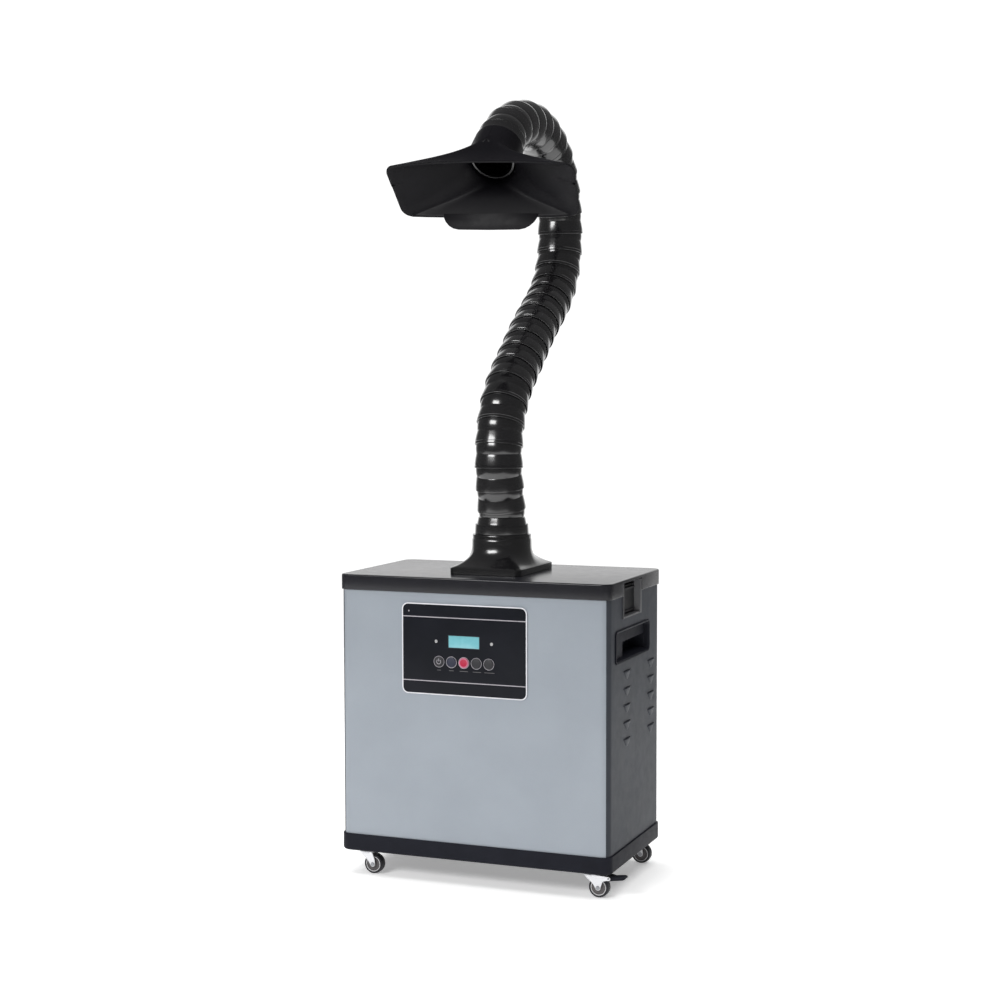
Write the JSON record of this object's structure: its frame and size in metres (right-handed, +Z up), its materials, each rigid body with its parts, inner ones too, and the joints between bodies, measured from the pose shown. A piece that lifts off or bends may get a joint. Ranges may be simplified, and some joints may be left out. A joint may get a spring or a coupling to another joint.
{
  "type": "solder fume extractor",
  "caption": "Wheeled cabinet fume extractor: ball-jointed black duct arm rising from the lid to a wide rectangular hood, with a recessed-handle steel body and front control panel.",
  "frame": {"origin": "the floor point under the cabinet's centre", "axes": "+X to the cabinet's right as seen from the front, +Y to its back, +Z up; the control panel faces -Y"},
  "size_m": [0.448, 0.424, 1.179],
  "materials": {
    "silver_paint": "satin",
    "cabinet_black": "satin",
    "cover_black": "gloss",
    "arm_black": "gloss",
    "panel_black": "satin",
    "lcd_glass": "gloss",
    "led_lens": "gloss",
    "key_black": "satin",
    "key_blue": "satin",
    "key_red": "satin",
    "latch_grey": "matte",
    "board_green": "satin",
    "zinc_steel": "satin",
    "tyre_black": "matte",
    "chamber_steel": "satin",
    "foam": "matte",
    "pre_media": "matte",
    "hepa_media": "matte",
    "carbon_media": "matte",
    "housing_grey": "satin",
    "impeller_metal": "satin",
    "motor_steel": "satin",
    "switch_red": "gloss",
    "screw_steel": "satin",
    "screw_black": "satin"
  },
  "bodies": {
    "cabinet": {"base_tray": "cabinet_black", "body_shell": "silver_paint", "rear_cover": "silver_paint", "control_panel": "panel_black", "lcd_display": "lcd_glass", "status_leds": "led_lens", "display_board": "board_green", "side_handles": "cabinet_black", "latch_bases": "latch_grey", "caster_plates": "zinc_steel", "filter_chamber": "chamber_steel", "filter_seal": "foam", "pre_filter": "pre_media", "hepa_filter": "hepa_media", "carbon_filter": "carbon_media", "fan_housing": "housing_grey", "fan_motor": "motor_steel", "power_board": "board_green", "power_inlet": "cabinet_black", "exhaust_grille": "cabinet_black", "cabinet_screws": "screw_steel"},
    "cover": {"top_cover": "cover_black", "arm_flange": "arm_black", "flange_screws": "screw_black"},
    "collar": {"arm_collar": "arm_black"},
    "arm_01": {"arm_section_01": "arm_black"},
    "arm_02": {"arm_section_02": "arm_black"},
    "arm_03": {"arm_section_03": "arm_black"},
    "arm_04": {"arm_section_04": "arm_black"},
    "arm_05": {"arm_section_05": "arm_black"},
    "arm_06": {"arm_section_06": "arm_black"},
    "arm_07": {"arm_section_07": "arm_black"},
    "arm_08": {"arm_section_08": "arm_black"},
    "arm_09": {"arm_section_09": "arm_black"},
    "arm_10": {"arm_section_10": "arm_black"},
    "arm_11": {"arm_section_11": "arm_black"},
    "arm_12": {"arm_section_12": "arm_black"},
    "arm_13": {"arm_section_13": "arm_black"},
    "arm_14": {"arm_section_14": "arm_black"},
    "neck": {"hood_neck": "arm_black"},
    "hood": {"hood": "arm_black"},
    "latch_left": {"latch_left": "key_black"},
    "latch_right": {"latch_right": "key_black"},
    "button_power": {"button_power": "key_black"},
    "button_down": {"button_down": "key_blue"},
    "button_set": {"button_set": "key_red"},
    "button_up": {"button_up": "key_black"},
    "button_mode": {"button_mode": "key_black"},
    "switch": {"power_switch": "switch_red"},
    "impeller": {"impeller": "impeller_metal"},
    "fork_front_left": {"fork_front_left": "zinc_steel"},
    "wheel_front_left": {"wheel_front_left": "tyre_black"},
    "fork_front_right": {"fork_front_right": "zinc_steel"},
    "wheel_front_right": {"wheel_front_right": "tyre_black"},
    "fork_back_left": {"fork_back_left": "zinc_steel"},
    "wheel_back_left": {"wheel_back_left": "tyre_black"},
    "fork_back_right": {"fork_back_right": "zinc_steel"},
    "wheel_back_right": {"wheel_back_right": "tyre_black"},
    "brake_front_right": {"brake_front_right": "cabinet_black"},
    "brake_back_left": {"brake_back_left": "cabinet_black"}
  },
  "joints": [
    {"name": "arm_swivel", "type": "hinge", "parent": "cover", "child": "collar", "pos_m": [0, 0, 0.5], "axis": [0, 0, 1], "range_deg": [-170, 170]},
    {"name": "arm_bend_01", "type": "hinge", "parent": "collar", "child": "arm_01", "pos_m": [0, 0, 0.5485], "axis": [-1, 0, 0], "range_deg": [-6, 30]},
    {"name": "arm_bend_04", "type": "hinge", "parent": "arm_03", "child": "arm_04", "pos_m": [0, 0.02554, 0.73219], "axis": [-1, 0, 0], "range_deg": [-29, 7]},
    {"name": "arm_bend_07", "type": "hinge", "parent": "arm_06", "child": "arm_07", "pos_m": [0, 0.17594, 0.85398], "axis": [-1, 0, 0], "range_deg": [-18, 18]},
    {"name": "arm_bend_08", "type": "hinge", "parent": "arm_07", "child": "arm_08", "pos_m": [0, 0.22672, 0.89366], "axis": [1, 0, 0], "range_deg": [-31, 5]},
    {"name": "arm_bend_11", "type": "hinge", "parent": "arm_10", "child": "arm_11", "pos_m": [0, 0.23811, 1.07533], "axis": [1, 0, 0], "range_deg": [-32, 4]},
    {"name": "arm_bend_14", "type": "hinge", "parent": "arm_13", "child": "arm_14", "pos_m": [0, 0.06755, 1.13831], "axis": [1, 0, 0], "range_deg": [-28, 8]},
    {"name": "hood_tilt", "type": "hinge", "parent": "arm_14", "child": "neck", "pos_m": [0, 0.00886, 1.11218], "axis": [1, 0, 0], "range_deg": [-30, 6]},
    {"name": "hood_swivel", "type": "hinge", "parent": "neck", "child": "hood", "pos_m": [0, -0.02087, 1.08542], "axis": [0, -0.7431, -0.6691], "range_deg": [-170, 170]},
    {"name": "cover_lift", "type": "slide", "parent": "cabinet", "child": "cover", "axis": [0, 0, 1], "range_m": [0, 0.15]},
    {"name": "latch_right_swing", "type": "hinge", "parent": "cabinet", "child": "latch_right", "pos_m": [0.2045, -0.021, 0.408], "axis": [0, 1, 0], "range_deg": [0, 80]},
    {"name": "latch_left_swing", "type": "hinge", "parent": "cabinet", "child": "latch_left", "pos_m": [-0.2045, -0.021, 0.408], "axis": [0, -1, 0], "range_deg": [0, 80]},
    {"name": "press_set", "type": "slide", "parent": "cabinet", "child": "button_set", "axis": [0, 1, 0], "range_m": [0, 0.001], "stiffness_N_per_m": 600, "springref_m": -0.001},
    {"name": "switch_rock", "type": "hinge", "parent": "cabinet", "child": "switch", "pos_m": [-0.096, 0.1205, 0.146], "axis": [-1, 0, 0], "range_deg": [0, 20]},
    {"name": "swivel_front_right", "type": "hinge", "parent": "cabinet", "child": "fork_front_right", "pos_m": [0.18, -0.102, 0.0325], "axis": [0, 0, 1], "continuous": true},
    {"name": "roll_front_right", "type": "hinge", "parent": "fork_front_right", "child": "wheel_front_right", "pos_m": [0.192, -0.102, 0.015], "axis": [0, 1, 0], "continuous": true},
    {"name": "brake_front_right_press", "type": "hinge", "parent": "fork_front_right", "child": "brake_front_right", "pos_m": [0.208, -0.102, 0.0297], "axis": [0, 1, 0], "range_deg": [0, 12]},
    {"name": "impeller_spin", "type": "hinge", "parent": "cabinet", "child": "impeller", "pos_m": [0, 0.008, 0.12], "axis": [0, 0, 1], "continuous": true},
    {"name": "arm_bend_02", "type": "hinge", "parent": "arm_01", "child": "arm_02", "pos_m": [0, -0.01177, 0.612], "axis": [-1, 0, 0], "range_deg": [-27, 9]},
    {"name": "arm_bend_03", "type": "hinge", "parent": "arm_02", "child": "arm_03", "pos_m": [0, -0.0056, 0.676], "axis": [-1, 0, 0], "range_deg": [-30, 6]},
    {"name": "arm_bend_05", "type": "hinge", "parent": "arm_04", "child": "arm_05", "pos_m": [0, 0.07388, 0.77496], "axis": [-1, 0, 0], "range_deg": [-17, 19]},
    {"name": "arm_bend_06", "type": "hinge", "parent": "arm_05", "child": "arm_06", "pos_m": [0, 0.12337, 0.81648], "axis": [-1, 0, 0], "range_deg": [-21, 15]},
    {"name": "arm_bend_09", "type": "hinge", "parent": "arm_08", "child": "arm_09", "pos_m": [0, 0.25682, 0.95027], "axis": [1, 0, 0], "range_deg": [-31, 5]},
    {"name": "arm_bend_10", "type": "hinge", "parent": "arm_09", "child": "arm_10", "pos_m": [0, 0.25906, 1.01448], "axis": [1, 0, 0], "range_deg": [-28, 8]},
    {"name": "arm_bend_12", "type": "hinge", "parent": "arm_11", "child": "arm_12", "pos_m": [0, 0.19243, 1.12022], "axis": [1, 0, 0], "range_deg": [-30, 6]},
    {"name": "arm_bend_13", "type": "hinge", "parent": "arm_12", "child": "arm_13", "pos_m": [0, 0.13182, 1.14168], "axis": [1, 0, 0], "range_deg": [-30, 6]},
    {"name": "press_power", "type": "slide", "parent": "cabinet", "child": "button_power", "axis": [0, 1, 0], "range_m": [0, 0.001], "stiffness_N_per_m": 600, "springref_m": -0.001},
    {"name": "press_down", "type": "slide", "parent": "cabinet", "child": "button_down", "axis": [0, 1, 0], "range_m": [0, 0.001], "stiffness_N_per_m": 600, "springref_m": -0.001},
    {"name": "press_up", "type": "slide", "parent": "cabinet", "child": "button_up", "axis": [0, 1, 0], "range_m": [0, 0.001], "stiffness_N_per_m": 600, "springref_m": -0.001},
    {"name": "press_mode", "type": "slide", "parent": "cabinet", "child": "button_mode", "axis": [0, 1, 0], "range_m": [0, 0.001], "stiffness_N_per_m": 600, "springref_m": -0.001},
    {"name": "swivel_front_left", "type": "hinge", "parent": "cabinet", "child": "fork_front_left", "pos_m": [-0.18, -0.102, 0.0325], "axis": [0, 0, 1], "continuous": true},
    {"name": "roll_front_left", "type": "hinge", "parent": "fork_front_left", "child": "wheel_front_left", "pos_m": [-0.168, -0.102, 0.015], "axis": [0, 1, 0], "continuous": true},
    {"name": "swivel_back_left", "type": "hinge", "parent": "cabinet", "child": "fork_back_left", "pos_m": [-0.18, 0.102, 0.0325], "axis": [0, 0, 1], "continuous": true},
    {"name": "roll_back_left", "type": "hinge", "parent": "fork_back_left", "child": "wheel_back_left", "pos_m": [-0.168, 0.102, 0.015], "axis": [0, 1, 0], "continuous": true},
    {"name": "swivel_back_right", "type": "hinge", "parent": "cabinet", "child": "fork_back_right", "pos_m": [0.18, 0.102, 0.0325], "axis": [0, 0, 1], "continuous": true},
    {"name": "roll_back_right", "type": "hinge", "parent": "fork_back_right", "child": "wheel_back_right", "pos_m": [0.192, 0.102, 0.015], "axis": [0, 1, 0], "continuous": true},
    {"name": "brake_back_left_press", "type": "hinge", "parent": "fork_back_left", "child": "brake_back_left", "pos_m": [-0.152, 0.102, 0.0297], "axis": [0, 1, 0], "range_deg": [0, 12]}
  ]
}
